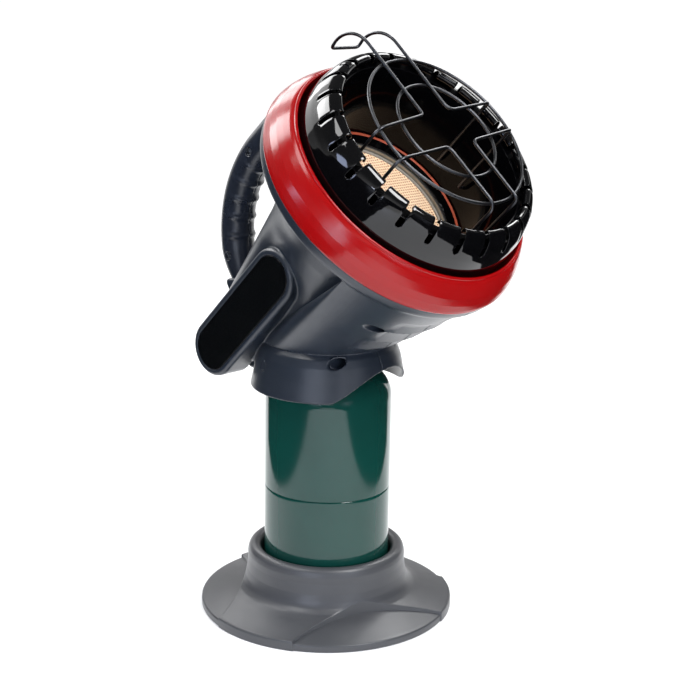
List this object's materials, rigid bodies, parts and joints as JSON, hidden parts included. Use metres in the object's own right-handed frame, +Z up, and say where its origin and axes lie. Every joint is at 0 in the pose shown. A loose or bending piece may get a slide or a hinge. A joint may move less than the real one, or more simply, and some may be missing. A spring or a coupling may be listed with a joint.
{
  "type": "portable propane heater",
  "caption": "Portable radiant heater: slotted reflector head on a tilted housing with handle, screwed on a gas cylinder in a push-on stand.",
  "frame": {"origin": "middle of the stand's underside, on the floor plane", "axes": "+Z up along the gas cylinder's axis; the heating head faces -Y and up; +X is the heater's left"},
  "size_m": [0.2148, 0.2789, 0.4488],
  "materials": {
    "stand_plastic": "fine texture",
    "housing_plastic": "fine texture",
    "handle_plastic": "satin",
    "label_film": "gloss",
    "red_enamel": "gloss enamel",
    "black_enamel": "gloss enamel",
    "green_enamel": "gloss enamel",
    "zinc_steel": "zinc plated",
    "guard_steel": "nickel plated, heat dulled",
    "brass": "machined",
    "ceramic": "unglazed",
    "gasket_fibre": "fibrous",
    "heat_tinted_steel": "heat tinted, oxidised",
    "aluminised_steel": "aluminised",
    "seal_rubber": "matt",
    "cast_alloy": "as cast",
    "spring_steel": "drawn",
    "red_plastic": "gloss",
    "black_plastic": "satin",
    "copper_tube": "drawn copper"
  },
  "bodies": {
    "stand": {"stand_base": "stand_plastic"},
    "cylinder": {"cylinder_lower_shell": "green_enamel", "cylinder_upper_shell": "green_enamel", "cylinder_valve_boss": "zinc_steel", "check_valve_core": "brass", "relief_valve": "zinc_steel"},
    "check_pin": {"check_valve_pin": "brass"},
    "seal": {"inlet_seal": "seal_rubber"},
    "heater": {"housing_left": "housing_plastic", "housing_right": "housing_plastic", "handle_left": "handle_plastic", "handle_right": "handle_plastic", "housing_screws": "zinc_steel", "label_plate_left": "label_film", "label_plate_right": "label_film", "front_ring": "red_enamel", "slotted_ring": "black_enamel", "reflector_bowl": "black_enamel", "reflector_screws": "zinc_steel", "guard_wire_hooked": "guard_steel", "guard_wire_left": "guard_steel", "guard_wire_right": "guard_steel", "guard_ring_large": "guard_steel", "guard_ring_small": "guard_steel", "burner_tile": "ceramic", "tile_gasket": "gasket_fibre", "burner_trim_ring": "heat_tinted_steel", "burner_pan": "aluminised_steel", "mixing_tube": "aluminised_steel", "gas_jet": "brass", "jet_holder": "brass", "gas_pipe": "brass", "inlet_fitting": "brass", "inlet_probe": "zinc_steel", "regulator_body": "cast_alloy", "regulator_diaphragm": "seal_rubber", "regulator_spring": "spring_steel", "regulator_cover": "cast_alloy", "regulator_outlet": "brass", "valve_body": "brass", "valve_bracket": "zinc_steel", "start_button_spring": "spring_steel", "off_button_spring": "spring_steel", "piezo_igniter": "black_plastic", "pilot_bracket": "zinc_steel", "pilot_burner": "brass", "thermocouple": "copper_tube", "spark_electrode": "ceramic", "tip_switch_case": "black_plastic"},
    "start": {"start_button": "red_plastic", "valve_stem": "zinc_steel", "piezo_plunger": "zinc_steel"},
    "off": {"off_button": "black_plastic"},
    "tip_ball": {"tip_switch_ball": "zinc_steel"}
  },
  "joints": [
    {"name": "cylinder_lift", "type": "slide", "parent": "stand", "child": "cylinder", "axis": [0, 0, 1], "range_m": [0, 0.05]},
    {"name": "heater_rise", "type": "slide", "parent": "cylinder", "child": "seal", "axis": [0, 0, 1], "range_m": [0, 0.01018]},
    {"name": "heater_unscrew", "type": "hinge", "parent": "seal", "child": "heater", "pos_m": [0, 0, 0.2], "axis": [0, 0, 1], "range_deg": [0, 2880]},
    {"name": "check_pin_rise", "type": "slide", "parent": "cylinder", "child": "check_pin", "axis": [0, 0, 1], "range_m": [0, 0.0009]},
    {"name": "start_press", "type": "slide", "parent": "heater", "child": "start", "axis": [0, -0.8572, 0.515], "range_m": [0, 0.0035], "stiffness_N_per_m": 900, "springref_m": -0.004},
    {"name": "off_press", "type": "slide", "parent": "heater", "child": "off", "axis": [0, -0.8572, 0.515], "range_m": [0, 0.0025], "stiffness_N_per_m": 700, "springref_m": -0.003},
    {"name": "tip_ball_roll", "type": "slide", "parent": "heater", "child": "tip_ball", "axis": [0, 1, 0], "range_m": [-0.004, 0.004]}
  ],
  "couplings": [
    {"joint": "heater_rise", "follows": "heater_unscrew", "m_per_rad": 0.00020213},
    {"joint": "check_pin_rise", "follows": "heater_unscrew", "m_per_rad": 0.000017507}
  ]
}
